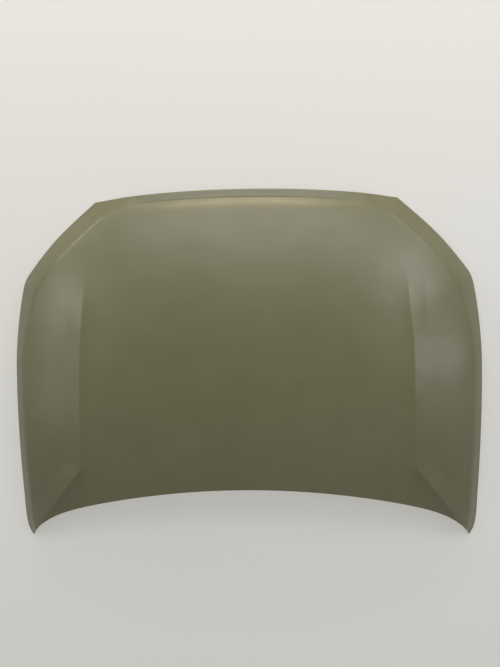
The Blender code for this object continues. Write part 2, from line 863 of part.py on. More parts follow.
def build():
    clear_scene()
    parts = bpy.data.collections.new("car_bonnet")
    cutters = bpy.data.collections.new("cutters")
    bpy.context.scene.collection.children.link(parts)
    bpy.context.scene.collection.children.link(cutters)
    root = link(bpy.data.objects.new("bonnet", None), parts)
    looks = make_materials()
    settle(looks["skin"])
    link(half_object("outer_skin", skin_mesh(), SKIN_T, looks["skin"]), parts, root)
    inner = link(half_object("inner_panel", inner_mesh(), INNER_T, looks["inner"]), parts, root)
    group = {"parts": parts, "cutters": cutters, "root": root, "looks": looks,
             "clear": drill("clearance_holes", HOLE_D, cutters),
             "bores": drill("nut_bores", NUT_BORE, cutters)}
    cut(inner, group["clear"])
    add_side_fixings(-1, "left", group)
    add_side_fixings(1, "right", group)
    add_striker(group)
    add_mastic_pads(group)


build()
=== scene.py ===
import math

import bmesh
import bpy
import numpy as np
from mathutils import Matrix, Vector


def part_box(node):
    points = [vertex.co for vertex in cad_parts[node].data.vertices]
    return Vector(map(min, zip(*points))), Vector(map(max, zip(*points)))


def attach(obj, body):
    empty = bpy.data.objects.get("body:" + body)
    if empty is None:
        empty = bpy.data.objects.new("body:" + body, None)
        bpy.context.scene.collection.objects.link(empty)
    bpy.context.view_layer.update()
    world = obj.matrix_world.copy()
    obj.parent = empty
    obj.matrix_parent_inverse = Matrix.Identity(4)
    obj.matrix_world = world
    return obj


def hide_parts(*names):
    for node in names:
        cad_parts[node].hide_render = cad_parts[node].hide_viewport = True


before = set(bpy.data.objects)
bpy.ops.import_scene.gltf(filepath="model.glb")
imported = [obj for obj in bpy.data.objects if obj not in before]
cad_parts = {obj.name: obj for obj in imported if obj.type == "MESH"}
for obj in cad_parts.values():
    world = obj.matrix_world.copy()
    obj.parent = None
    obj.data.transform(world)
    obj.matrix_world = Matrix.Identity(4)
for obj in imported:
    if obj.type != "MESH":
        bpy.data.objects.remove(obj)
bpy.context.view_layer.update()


# Floor
# A plain pale studio floor, matt painted board. It carries the bonnet's own
# shadow and shows as the photograph's light wall behind it.

def linear(code):
    parts = [int(code[i:i + 2], 16) / 255.0 for i in (1, 3, 5)]
    return tuple(v / 12.92 if v <= 0.04045 else ((v + 0.055) / 1.055) ** 2.4 for v in parts) + (1.0,)


def add(tree, kind, settings=None, **links):
    """A node with these settings. Links go to inputs by name, or by number as i0, i1."""
    made = tree.nodes.new(kind)
    for key, value in (settings or {}).items():
        if hasattr(made, key):
            setattr(made, key, value)
        else:
            made.inputs[key].default_value = value
    for key, source in links.items():
        numbered = key[0] == "i" and key[1:].isdigit()
        tree.links.new(source, made.inputs[int(key[1:]) if numbered else key.replace("_", " ")])
    return made


def seen_or_mirrored(tree):
    """1 for what the camera sees directly, in metal or through glass, and else 0."""
    rays = add(tree, "ShaderNodeLightPath").outputs
    seen = add(tree, "ShaderNodeMath", {"operation": "MAXIMUM"},
               i0=rays["Is Camera Ray"], i1=rays["Is Glossy Ray"])
    return add(tree, "ShaderNodeMath", {"operation": "MAXIMUM"},
               i0=seen.outputs["Value"], i1=rays["Is Transmission Ray"]).outputs["Value"]


FLOOR_HALF = 9.0
FLOOR_LEVEL = -0.0006
FLOOR_EVENNESS = 0.55

floor_mesh = bpy.data.meshes.new("floor")
floor_mesh.from_pydata([(x * FLOOR_HALF, y * FLOOR_HALF, FLOOR_LEVEL)
                        for x, y in ((-1, -1), (1, -1), (1, 1), (-1, 1))], [], [(0, 1, 2, 3)])
floor = bpy.data.objects.new("floor", floor_mesh)
bpy.context.scene.collection.objects.link(floor)
board = bpy.data.materials.new("matt_white_painted_board")
board.use_nodes = True
shader = board.node_tree.nodes["Principled BSDF"]
shader.inputs["Base Color"].default_value = linear("#D9D8D4")
shader.inputs["Roughness"].default_value = 0.85
shader.inputs["Specular IOR Level"].default_value = 0.2
tree = board.node_tree
even = add(tree, "ShaderNodeMath", {"operation": "MULTIPLY"}, i0=seen_or_mirrored(tree))
even.inputs[1].default_value = FLOOR_EVENNESS
plain = add(tree, "ShaderNodeEmission", {"Color": linear("#DAD8D2")})
both = add(tree, "ShaderNodeMixShader", i0=even.outputs["Value"],
           i1=shader.outputs["BSDF"], i2=plain.outputs["Emission"])
tree.links.new(both.outputs["Shader"], tree.nodes["Material Output"].inputs["Surface"])
floor_mesh.materials.append(board)


# Light and camera
# Soft boxes beyond the nose, one a low warm tube, weaker ones at the corners and
# sides, and a pale room. The camera looks down on the panel, nose at the top.

SOFT_BOXES = [
    # name, place, point it aims at, width, height, watts, colour
    ("window_light", (0.0, 2.5, 2.4), (0, 0.3, 0.1), 3.2, 0.9, 43.0, "#EEF4FF"),
    ("warm_tube", (-0.05, 3.0, 1.05), (0, 0.5, 0.1), 1.8, 0.22, 39.0, "#FFE8CB"),
    ("low_window", (0.0, 3.1, 0.85), (0, 0.5, 0.1), 4.2, 0.4, 12.0, "#FFFDF6"),
    ("left_front_light", (-2.3, 2.2, 1.0), (-0.5, 0.3, 0.1), 1.2, 0.5, 14.0, "#FFFDF6"),
    ("right_front_light", (2.3, 2.2, 1.0), (0.5, 0.3, 0.1), 1.2, 0.5, 9.0, "#FFFDF6"),
    ("right_light", (1.8, 1.25, 1.9), (0.4, 0.2, 0.1), 0.9, 0.7, 14.0, "#F8FAFF"),
    ("right_low_light", (2.1, 0.0, 1.5), (0.5, 0, 0.1), 0.5, 0.5, 5.0, "#F8FAFF"),
    ("left_light", (-2.15, 0.9, 1.7), (-0.5, 0.2, 0.1), 0.7, 0.6, 9.0, "#FFFDF6"),
    ("left_low_light", (-2.1, -0.2, 1.5), (-0.5, 0, 0.1), 0.9, 0.4, 2.8, "#FFFDF6"),
]
ROOM_LIGHT = 0.35
ROOM_SEEN = 0.80
SENSOR = 36.0
FOCAL_PIXELS = 501.0
PICTURE_PIXELS = 667.0

for name, place, aim, width, depth, watts, colour in SOFT_BOXES:
    lamp = bpy.data.lights.new(name, "AREA")
    lamp.shape = "RECTANGLE"
    lamp.size = width
    lamp.size_y = depth
    lamp.energy = watts
    lamp.color = linear(colour)[:3]
    box = bpy.data.objects.new(name, lamp)
    box.location = place
    box.rotation_euler = (Vector(aim) - Vector(place)).to_track_quat("-Z", "Y").to_euler()
    bpy.context.scene.collection.objects.link(box)
sky = bpy.data.worlds.new("room")
sky.use_nodes = True
tree = sky.node_tree
tree.nodes["Background"].inputs["Color"].default_value = linear("#E6E6E4")
level = add(tree, "ShaderNodeMapRange", {"To Min": ROOM_LIGHT, "To Max": ROOM_SEEN},
            Value=seen_or_mirrored(tree))
tree.links.new(level.outputs["Result"], tree.nodes["Background"].inputs["Strength"])
bpy.context.scene.world = sky
bpy.context.scene.view_settings.view_transform = "Standard"

lens = bpy.data.cameras.new("camera")
lens.sensor_fit = "VERTICAL"
lens.sensor_height = SENSOR
lens.lens = SENSOR * FOCAL_PIXELS / PICTURE_PIXELS
camera = bpy.data.objects.new("camera", lens)
camera.location = (0.0510, 0.1723, 1.6287)
camera.rotation_euler = (math.radians(-2.42), math.radians(1.40), math.radians(-0.67))
bpy.context.scene.collection.objects.link(camera)
bpy.context.scene.camera = camera


# Outer skin
# Deep-drawn sheet steel, 0.75 mm thick, its rim folded over the inner panel in
# a flat hem all round and coated in one satin olive grey dip primer.

SKIN_T = 0.00075
INNER_T = 0.00065
HEM_GAP = 0.0003
FOLD_R = (SKIN_T + INNER_T) / 2 + HEM_GAP
HEM_RINGS = (0.0095, 0.006, 0.005, 0.004, 0.0032, 0.0024)
REST_LEVEL = 0.0124134
REST_PITCH = -0.0073097
NOSE_Y = 0.5605
CORNER = (0.486, 0.534)
TIP_X = 0.720
NOSE_CURVE = 2.1
REAR_MIDDLE = -0.365
REAR_SWEEP = 0.240
REAR_TIP_DROP = 0.0711
CROWN_TOP = 0.147
CROWN_AT = -0.030
CROWN_FRONT, CROWN_REAR = 0.275, 0.230
CROSS_UNIT = 0.500
CROSS_CROWN, EDGE_CROWN, NOSE_CROWN = 0.018, 0.005, 0.012
CHAMFER_SLOPE = 0.48
CORNER_BAND = 0.067
BAND_TURN_X = 0.34
SIDE_BAND, SIDE_BAND_GAIN = 0.037, 0.030
LIP_END_X, LIP_FADE = 0.300, 0.130
WING_RISE = 0.0082
WING_WIDTH = 0.048
WING_FADE = 0.110
CREASE_RUN_IN = 0.220
CREASE_SOFT = 0.0022
INBOARD_FADE = 0.022
BAND_SOFT = 0.018
FOLD_SOFT = 0.009
REAR_BAND = 0.026
NOSE_BAND = 0.033
REAR_CREASE_X = 0.640
SIDE_STATIONS = [CORNER, (0.6060, 0.4190), (0.6930, 0.3160), (0.7160, 0.2810),
                 (0.7255, 0.2380), (0.7315, 0.1660), (0.7350, 0.0600), (0.7365, -0.0600),
                 (0.7370, -0.2200), (0.7385, -0.4000), (0.7400, -0.4870), (0.7350, -0.5320), (TIP_X, -0.5605)]
CREASE_STATIONS = [(0.480, 0.330), (0.489, 0.251), (0.4965, 0.0945), (0.502, -0.087),
                   (0.5095, -0.270), (0.5135, -0.3035), (0.532, -0.328), (0.600, -0.411), (0.668, -0.497)]


def smooth(t):
    t = np.clip(t, 0.0, 1.0)
    return t * t * (3.0 - 2.0 * t)


def spline(stations, steps):
    p = np.array(stations, float)
    p = np.vstack([2 * p[0] - p[1], p, 2 * p[-1] - p[-2]])
    t = np.linspace(0, 1, steps, endpoint=False)[:, None]
    runs = []
    for a, b, c, d in zip(p, p[1:], p[2:], p[3:]):
        runs.append(0.5 * (2 * b + (c - a) * t + (2 * a - 5 * b + 4 * c - d) * t ** 2
                           + (3 * b - a - 3 * c + d) * t ** 3))
    return np.vstack(runs + [p[-2:-1]])


def nose_edge(x):
    return NOSE_Y - (NOSE_Y - CORNER[1]) * (x / CORNER[0]) ** NOSE_CURVE


def rear_edge(x):
    return REAR_MIDDLE - REAR_SWEEP * x * x - REAR_TIP_DROP * (x / TIP_X) ** 11


def nose_band(x):
    return NOSE_BAND + (CORNER_BAND - NOSE_BAND) * smooth((x - BAND_TURN_X) / (CORNER[0] - BAND_TURN_X))


def side_band(y):
    return SIDE_BAND + SIDE_BAND_GAIN * smooth((y - 0.02) / 0.24)


def lip_share(x):
    return 1.0 - smooth((x - LIP_END_X) / LIP_FADE)


def arc_lengths(line):
    return np.concatenate([[0.0], np.cumsum(np.linalg.norm(np.diff(line, axis=0), axis=1))])


def at_share(line, share):
    done = arc_lengths(line)
    want = np.asarray(share) * done[-1]
    return np.stack([np.interp(want, done, line[:, 0]), np.interp(want, done, line[:, 1])], -1)


def nearest(points, line):
    gap = np.full(len(points), np.inf)
    place = np.zeros(len(points))
    piece = np.zeros(len(points), int)
    a, run = line[:-1], np.diff(line, axis=0)
    size = (run ** 2).sum(1)
    for start in range(0, len(points), 1500):
        q = points[start:start + 1500, None, :] - a[None]
        t = np.clip((q * run[None]).sum(2) / size, 0, 1)
        d = np.linalg.norm(q - run[None] * t[:, :, None], axis=2)
        k = d.argmin(1)
        rows = np.arange(len(k))
        gap[start:start + 1500] = d[rows, k]
        place[start:start + 1500] = t[rows, k]
        piece[start:start + 1500] = k
    return gap, piece, place


def offset_line(line, width):
    run = np.gradient(line, axis=0)
    normal = np.stack([run[:, 1], -run[:, 0]], 1) / np.linalg.norm(run, axis=1)[:, None]
    return line + normal * np.broadcast_to(width, len(line))[:, None]


def meeting(a, b):
    gap = np.linalg.norm(a[:, None] - b[None], axis=2)
    return np.unravel_index(gap.argmin(), gap.shape)


def foot(line, point):
    """How far along the line its nearest point to this one lies."""
    return arc_lengths(line)[np.linalg.norm(line - point, axis=1).argmin()]


def squared_shares(share, line, start, stop):
    """Shares of an inner line that stay square to the rim except near its corners."""
    total = arc_lengths(line)[-1]
    lost = total - stop
    place = share * total - start * (1 - (1 - share) ** 4) - lost * share ** 4
    return place / (total - start - lost)


side_line = spline(SIDE_STATIONS, 40)
nose_x = np.linspace(0, CORNER[0], 160, endpoint=False)
rim_line = np.vstack([np.stack([nose_x, nose_edge(nose_x)], 1), side_line])
rim_band = np.concatenate([nose_band(nose_x), side_band(side_line[:, 1])])
rim_lip = np.concatenate([lip_share(nose_x), np.zeros(len(side_line))])
crease_line = spline(CREASE_STATIONS, 10)
crease_done = arc_lengths(crease_line)


def band_fall(gap, band):
    depth = band - gap
    soft = CHAMFER_SLOPE * (depth + FOLD_SOFT) ** 2 / (4 * FOLD_SOFT)
    return np.where(depth <= -FOLD_SOFT, 0, np.where(depth >= FOLD_SOFT, CHAMFER_SLOPE * depth, soft))


def lip_fall(gap):
    """The nose lip's section: turned-down edge, flat ledge, groove and the roll behind."""
    section = [(0.0, 0.0204), (0.0015, 0.0162), (0.0025, 0.0122), (0.0035, 0.0090), (0.0045, 0.0068),
               (0.0055, 0.0057), (0.0070, 0.0055), (0.0190, 0.0070), (0.0250, 0.0070), (0.0285, 0.0072),
               (0.0310, 0.0080), (0.0318, 0.0079), (0.0410, 0.0050), (0.0474, 0.0034), (0.0538, 0.0023),
               (0.0600, 0.0014), (0.0700, 0.0004), (0.0800, 0.0)]
    return np.interp(gap, *np.array(section).T)


def edge_fall(points):
    fall = np.zeros(len(points))
    near = (points[:, 0] > 0.60) | (points[:, 1] > 0.40) | (points[:, 0] + points[:, 1] > 0.72)
    gap, piece, place = nearest(points[near], rim_line)
    band = rim_band[piece] * (1 - place) + rim_band[piece + 1] * place
    share = rim_lip[piece] * (1 - place) + rim_lip[piece + 1] * place
    fall[near] = (1 - share) * band_fall(gap, band) + share * lip_fall(gap)
    return fall


def crease_rise(points):
    rise = np.zeros(len(points))
    near = points[:, 0] > 0.25
    p = points[near]
    gap, piece, place = nearest(p, crease_line)
    run = np.diff(crease_line, axis=0)[piece]
    away = p - crease_line[piece]
    outboard = run[:, 0] * away[:, 1] - run[:, 1] * away[:, 0] > 0
    done = crease_done[piece] + place * np.linalg.norm(run, axis=1)
    full = WING_RISE * smooth(done / CREASE_RUN_IN)
    soft = np.sqrt(gap ** 2 + CREASE_SOFT ** 2) - CREASE_SOFT
    bend = 0.5 * ((1.0 - soft / WING_WIDTH) + np.sqrt((1.0 - soft / WING_WIDTH) ** 2 + 0.012))
    wing = (0.10 + 0.90 * bend) * (1.0 - smooth((gap - WING_WIDTH) / WING_FADE))
    rise[near] = full * np.where(outboard, wing, np.exp(-soft / INBOARD_FADE))
    return rise


def height(x, y):
    points = np.stack([np.abs(x).ravel(), np.asarray(y).ravel()], 1)
    x, y = points.T
    z = CROWN_TOP - np.where(y > CROWN_AT, CROWN_FRONT, CROWN_REAR) * (y - CROWN_AT) ** 2
    across = x / CROSS_UNIT
    z -= CROSS_CROWN * across ** 2 + EDGE_CROWN * across ** 6
    z -= np.where(y > 0, NOSE_CROWN * across ** 2 * (np.maximum(y, 0) / 0.5) ** 3, 0)
    z += crease_rise(points) - edge_fall(points)
    return z + REST_LEVEL + REST_PITCH * y


def on_skin(plan):
    shape = plan.shape[:-1]
    flat = plan.reshape(-1, 2)
    return np.column_stack([flat, height(flat[:, 0], flat[:, 1])]).reshape(*shape, 3)


def down_normals(plan):
    flat = plan.reshape(-1, 2)
    e = 0.0005
    dx = (height(flat[:, 0] + e, flat[:, 1]) - height(flat[:, 0] - e, flat[:, 1])) / (2 * e)
    dy = (height(flat[:, 0], flat[:, 1] + e) - height(flat[:, 0], flat[:, 1] - e)) / (2 * e)
    n = np.column_stack([dx, dy, -np.ones(len(dx))])
    return (n / np.linalg.norm(n, axis=1)[:, None]).reshape(*plan.shape[:-1], 3)


class PlanGrid:
    """The half panel's plan as rows and columns that follow its rim and crease."""

    def __init__(self, centre_columns, wing_columns, rows):
        self.rows = rows
        c, w, r = len(centre_columns) - 1, len(wing_columns), len(rows) - 1
        nose_x = np.concatenate([centre_columns * 0.400, 0.400 + wing_columns * (CORNER[0] - 0.400)])
        rear_x = np.concatenate([centre_columns * REAR_CREASE_X,
                                 REAR_CREASE_X + wing_columns * (TIP_X - REAR_CREASE_X)])[::-1]
        side = at_share(side_line, 1 - rows[::-1])
        nose = np.stack([nose_x, nose_edge(nose_x)], 1)
        rear = np.stack([rear_x, rear_edge(rear_x)], 1)
        self.rim = np.vstack([nose[:-1], side, rear[1:]])
        self.corners = (c + w, c + w + r)
        self.inward = self.inward_vectors()
        side_wide = side_band(side[:, 1])
        side_wide += (REAR_BAND - side_wide) * smooth(1 - (side[:, 1] - side[-1, 1]) / 0.10)
        self.band = np.concatenate([nose_band(nose_x[:-1]), side_wide, np.full(c + w, REAR_BAND)])
        self.edge = self.inner_edge(nose_x / CORNER[0], 1 - rows[::-1], 1 - rear_x / TIP_X)
        self.reach = self.band + BAND_SOFT
        top, bottom = self.edge[:c + w + 1], self.edge[c + w + r:][::-1]
        side = self.edge[c + w:c + w + r + 1][::-1]
        middle = np.stack([np.zeros(r + 1), bottom[0, 1] + rows * (top[0, 1] - bottom[0, 1])], 1)
        straight = (crease_line[:, 1] < 0.30) & (crease_line[:, 1] > -0.300)
        front = np.vstack([top[c], (0.458, 0.400), crease_line[straight]])
        kink = 0.1576
        rail = np.where((rows <= kink)[:, None], bottom[c] + (front[-1] - bottom[c]) * (rows / kink)[:, None],
                        at_share(front, 1 - (rows - kink) / (1 - kink)))
        inner = self.coons(bottom[:c + 1], top[:c + 1], middle, rail, centre_columns)
        outer = self.coons(bottom[c:], top[c:], rail, side, np.concatenate([[0.0], wing_columns]))
        self.plan = np.concatenate([inner, outer[:, 1:]], axis=1)

    def coons(self, bottom, top, left, right, us):
        u, v = us[None, :, None], self.rows[:, None, None]
        sides = bottom[None] * (1 - v) + top[None] * v + left[:, None] * (1 - u) + right[:, None] * u
        corners = (bottom[0] * (1 - u) + bottom[-1] * u) * (1 - v) + (top[0] * (1 - u) + top[-1] * u) * v
        return sides - corners

    def inward_vectors(self):
        flip = np.array([-1, 1])
        chain = np.vstack([self.rim[1] * flip, self.rim, self.rim[-2] * flip])
        run = np.diff(chain, axis=0)
        length = np.linalg.norm(run, axis=1)
        run /= length[:, None]
        normal = np.stack([run[:, 1], -run[:, 0]], 1)
        mitre = normal[:-1] + normal[1:]
        mitre /= (1 + (normal[:-1] * normal[1:]).sum(1))[:, None]
        done = arc_lengths(self.rim)
        for corner in self.corners:
            lean = mitre[corner].copy()
            for step in (-1, 1):
                towards = run[corner] * -1 if step < 0 else run[corner + 1]
                slide = lean @ towards
                k = corner + step
                while 0 < k < len(mitre) - 1 and abs(done[k] - done[corner]) < 0.40:
                    way = -run[k + 1] if step < 0 else run[k]
                    mitre[k] += way * slide * (1 - abs(done[k] - done[corner]) / 0.40) ** 2
                    k += step
        return mitre

    def inner_edge(self, nose_share, side_share, rear_share):
        across = np.linspace(0, 1, 400)[:, None]
        nose = np.hstack([across * CORNER[0], nose_edge(across * CORNER[0])])
        rear = np.hstack([across * TIP_X, rear_edge(across * TIP_X)])[::-1]
        nose_in = offset_line(nose, nose_band(nose[:, 0]) + BAND_SOFT)
        side_wide = side_band(side_line[:, 1]) + BAND_SOFT
        side_in = offset_line(side_line, side_wide)
        side_in = side_in[nearest(side_in, side_line)[0] > 0.99 * side_wide]
        side_in = at_share(side_in, np.linspace(0, 1, 500))
        for _ in range(40):
            side_in[1:-1] = (side_in[:-2] + 2 * side_in[1:-1] + side_in[2:]) / 4
        rear_in = offset_line(rear, REAR_BAND + BAND_SOFT)
        i, j = meeting(nose_in, side_in)
        k, m = meeting(side_in, rear_in)
        front, back = side_in[j].copy(), side_in[k].copy()
        nose_in, side_in, rear_in = nose_in[:i + 1], side_in[j:k + 1], rear_in[m:]
        nose_in[-1], rear_in[0] = front, back
        first = at_share(nose_in, squared_shares(nose_share, nose, 0.0, foot(nose, front)))
        second = at_share(side_in, squared_shares(side_share, side_line,
                                                  foot(side_line, front), foot(side_line, back)))
        third = at_share(rear_in, squared_shares(rear_share, rear, foot(rear, back), arc_lengths(rear)[-1]))
        return np.vstack([first[:-1], second, third[1:]])

    def at(self, distance):
        """Points this far in from the rim, bending over to the grid's own edge."""
        distance = np.broadcast_to(distance, len(self.rim))
        share = np.clip(distance / self.reach, 0, 1)[:, None]
        p = self.rim + self.inward * distance[:, None]
        p += (self.edge - self.rim - self.inward * self.reach[:, None]) * share ** 2
        p[0, 0] = p[-1, 0] = 0.0
        return p


def graded(count, start, stop):
    """Shares from 0 to 1 whose spacing runs evenly from start to stop."""
    steps = np.linspace(start, stop, count)
    return np.concatenate([[0.0], np.cumsum(steps) / steps.sum()])


def rim_indices(rows, columns):
    grid = np.arange(rows * columns).reshape(rows, columns)
    return np.concatenate([grid[-1, :-1], grid[::-1, -1], grid[0, :-1][::-1]])


class HalfSheet:
    """Points and quads of one half of a sheet's middle surface."""

    def __init__(self, grid_points, keep=None):
        rows, columns = grid_points.shape[:2]
        self.points = [grid_points.reshape(-1, 3)]
        index = np.arange(rows * columns).reshape(rows, columns)
        quads = np.stack([index[:-1, :-1], index[:-1, 1:], index[1:, 1:], index[1:, :-1]], -1)
        self.quads = [quads[keep] if keep is not None else quads.reshape(-1, 4)]
        self.ring = rim_indices(rows, columns)
        self.count = rows * columns

    def grow(self, points):
        points = points.copy()
        points[0, 0] = points[-1, 0] = 0.0
        new = np.arange(len(points)) + self.count
        old = self.ring
        self.quads.append(np.stack([new[:-1], new[1:], old[1:], old[:-1]], -1)[:, ::-1])
        self.points.append(points)
        self.ring = new
        self.count += len(points)

    def solid(self, name, thickness):
        mesh = bpy.data.meshes.new(name)
        mesh.from_pydata(np.vstack(self.points).tolist(), [], np.vstack(self.quads).tolist())
        half = bpy.data.objects.new(name + "_half", mesh)
        bpy.context.scene.collection.objects.link(half)
        bm = bmesh.new()
        bm.from_mesh(mesh)
        bmesh.ops.delete(bm, geom=[v for v in bm.verts if not v.link_faces], context="VERTS")
        bmesh.ops.recalc_face_normals(bm, faces=bm.faces)
        if sum(f.normal.z * f.calc_area() for f in bm.faces) < 0:
            bmesh.ops.reverse_faces(bm, faces=bm.faces)
        bm.to_mesh(mesh)
        bm.free()
        mirror = half.modifiers.new("mirror", "MIRROR")
        mirror.merge_threshold = 0.00001
        shell = half.modifiers.new("sheet", "SOLIDIFY")
        shell.thickness = thickness
        shell.offset = 0.0
        seen = half.evaluated_get(bpy.context.evaluated_depsgraph_get())
        whole = bpy.data.meshes.new_from_object(seen)
        whole.name = name
        bpy.data.objects.remove(half)
        whole.polygons.foreach_set("use_smooth", [True] * len(whole.polygons))
        piece = bpy.data.objects.new(name, whole)
        bpy.context.scene.collection.objects.link(piece)
        return piece


TIP_ZONE = 0.020
TIP_SINK = 0.00209


def keep_in_box(piece, low, high):
    """Raises the corner tips to the floor and trims the piece to its solid's box."""
    mesh = piece.data
    co = np.empty(len(mesh.vertices) * 3)
    mesh.vertices.foreach_get("co", co)
    co = co.reshape(-1, 3)
    tips = co[:, 2] < TIP_ZONE
    co[tips, 2] = TIP_ZONE - (TIP_ZONE - co[tips, 2]) * TIP_ZONE / (TIP_ZONE + TIP_SINK)
    for axis in range(3):
        if low[axis] <= co[:, axis].min() and co[:, axis].max() <= high[axis]:
            continue
        span = co[:, axis].max() - co[:, axis].min()
        share = min(1.0, (high[axis] - low[axis]) / span)
        co[:, axis] = low[axis] + (co[:, axis] - co[:, axis].min()) * share
        if axis < 2:
            co[:, axis] += (high[axis] - low[axis] - span * share) / 2
    mesh.vertices.foreach_set("co", co.ravel())
    mesh.update()


BAND_RINGS = (1.08, 1.03, 1.0, 0.975, 0.95, 0.925, 0.89, 0.845, 0.80, 0.755, 0.70,
              0.60, 0.50, 0.41, 0.34, 0.27, 0.20, 0.16, 0.13, 0.10, 0.07)
FOLD_STEPS = 5
fine_columns = graded(66, 1.0, 0.22)
fine_wing = graded(34, 0.35, 1.0)[1:]
fine_rows = np.concatenate([np.linspace(0, 0.1576, 20), np.linspace(0.1576, 1, 94)[1:]])
skin_grid = PlanGrid(fine_columns, fine_wing, fine_rows)
sheet = HalfSheet(on_skin(skin_grid.plan))
for share in (0.8, 0.6, 0.4, 0.2):
    sheet.grow(on_skin(skin_grid.at(skin_grid.band * 1.08 + (BAND_SOFT - 0.08 * skin_grid.band) * share)))
for share in BAND_RINGS:
    sheet.grow(on_skin(skin_grid.at(skin_grid.band * share)))
fold_start = SKIN_T / 2 + FOLD_R
start = on_skin(skin_grid.at(fold_start))
inside = on_skin(skin_grid.at(fold_start + 0.002))
down = down_normals(skin_grid.at(fold_start))
out = start - inside
out -= down * (out * down).sum(1)[:, None]
out *= (np.linalg.norm(skin_grid.inward, axis=1) / np.linalg.norm(out, axis=1))[:, None]
sheet.grow(start)
for step in range(1, FOLD_STEPS):
    angle = math.pi * step / FOLD_STEPS
    sheet.grow(start + down * FOLD_R * (1 - math.cos(angle)) + out * FOLD_R * math.sin(angle))
for distance in (fold_start, *HEM_RINGS[::-1]):
    plan = skin_grid.at(distance)
    sheet.grow(on_skin(plan) + down_normals(plan) * 2 * FOLD_R)
skin = sheet.solid("outer_skin_sheet", SKIN_T)
keep_in_box(skin, *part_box("outer_skin"))

# Satin dip primer: an even khaki with faint clouds of tone, soft wide highlights
# broken by the sheet's long ripples, a fine orange peel and a few dust nibs.
primer = bpy.data.materials.new("satin_olive_dip_primer")
primer.use_nodes = True
tree = primer.node_tree
shader = tree.nodes["Principled BSDF"]
place = add(tree, "ShaderNodeTexCoord").outputs["Object"]
clouds = add(tree, "ShaderNodeTexNoise", {"Scale": 4.0, "Detail": 4.0, "Roughness": 0.6}, Vector=place)
tone = add(tree, "ShaderNodeValToRGB", Fac=clouds.outputs["Fac"])
tone.color_ramp.elements[0].position = 0.30
tone.color_ramp.elements[0].color = linear("#5C5B3E")
tone.color_ramp.elements[1].position = 0.70
tone.color_ramp.elements[1].color = linear("#626145")
cells = add(tree, "ShaderNodeTexVoronoi", {"Scale": 55.0, "Randomness": 1.0}, Vector=place)
nibs = add(tree, "ShaderNodeMapRange", {"From Min": 0.045, "From Max": 0.025},
           Value=cells.outputs["Distance"])
dusty = add(tree, "ShaderNodeMix", {"data_type": "RGBA"},
            i0=nibs.outputs["Result"], i6=tone.outputs["Color"])
dusty.inputs[7].default_value = linear("#7D7B63")
tree.links.new(dusty.outputs[2], shader.inputs["Base Color"])
gloss = add(tree, "ShaderNodeTexNoise", {"Scale": 22.0, "Detail": 3.0}, Vector=place)
satin = add(tree, "ShaderNodeMapRange", {"To Min": 0.31, "To Max": 0.41}, Value=gloss.outputs["Fac"])
tree.links.new(satin.outputs["Result"], shader.inputs["Roughness"])
ripple = add(tree, "ShaderNodeTexNoise", {"Scale": 6.5, "Detail": 1.5}, Vector=place)
wave = add(tree, "ShaderNodeBump", {"Strength": 1.0, "Distance": 0.0042}, Height=ripple.outputs["Fac"])
peel = add(tree, "ShaderNodeTexNoise", {"Scale": 320.0, "Detail": 2.0}, Vector=place)
skin_bump = add(tree, "ShaderNodeBump", {"Strength": 1.0, "Distance": 0.00005},
                Height=peel.outputs["Fac"], Normal=wave.outputs["Normal"])
tree.links.new(skin_bump.outputs["Normal"], shader.inputs["Normal"])
skin.data.materials.append(primer)
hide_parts("outer_skin")
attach(skin, "root")


# Inner panel
# The second pressing, 0.65 mm steel clamped in the skin's hem: a channel round the
# rim, openings that leave ribs close under the skin, and pads for the fittings.

CENTRE_SHARES = [0, 0.036, 0.072, 0.2, 0.328, 0.364, 0.436, 0.472,
                 0.6, 0.728, 0.764, 0.836, 0.872, 0.944, 1.0]
WING_SHARES = [0, 0.24, 0.40, 0.62, 1.0]
ROW_SHARES = [0, 0.0370, 0.0824, 0.1576, 0.2328, 0.2543, 0.3021, 0.3236, 0.3988, 0.4740,
              0.4955, 0.5433, 0.5648, 0.6400, 0.7152, 0.8012, 0.8967, 1.0]
POST_LANDS = [(-1, 1), (5, 6), (10, 11)]
BAR_LANDS = [(5, 6), (10, 11)]
OPENING_COLUMNS = [(2, 4), (7, 9), (12, 16)]
OPENING_ROWS = [(2, 4), (7, 9), (12, 14)]
CLOSED_BY_HINGE = (OPENING_COLUMNS[2], OPENING_ROWS[0])
OPENINGS = [(columns, rows) for columns in OPENING_COLUMNS for rows in OPENING_ROWS
            if (columns, rows) != CLOSED_BY_HINGE]
OPENING_CORNER = 0.034
DEEP = 0.025
LAND = 0.0047
PANEL_CELL = 0.0076
PAD_FLAT = 0.008
PAD_RIM = 0.020
HINGE_PAD = (0.646, -0.345, 0.036, 0.110)
STAY_PAD = (0.632, 0.0953, 0.036, 0.070)
LATCH_PAD = (0.0, 0.462, 0.124, 0.050)
HINGE_PITCH = 0.070
LATCH_PITCH = 0.092
SCREW_HOLE = 0.011


def stations(widths, least):
    runs = [np.linspace(k, k + 1, max(least, round(w / PANEL_CELL)), endpoint=False)
            for k, w in enumerate(widths)]
    return np.concatenate(runs + [[len(widths)]])


def plateau(at, start, stop):
    """1 between two stations, easing to 0 one station beyond either."""
    return smooth(1.15 * np.minimum(at - start + 1, stop + 1 - at) - 0.075)


def drop_below_skin(u, v):
    posts = np.max([plateau(u, a, b) for a, b in POST_LANDS], axis=0) * plateau(v, 2, 14)
    bars = np.max([plateau(v, a, b) for a, b in BAR_LANDS], axis=0) * plateau(u, -1, 15)
    return DEEP - (DEEP - LAND) * np.maximum(posts, bars)


def pad_level(pad):
    return float(height(np.array([pad[0]]), np.array([pad[1]]))[0]) - DEEP


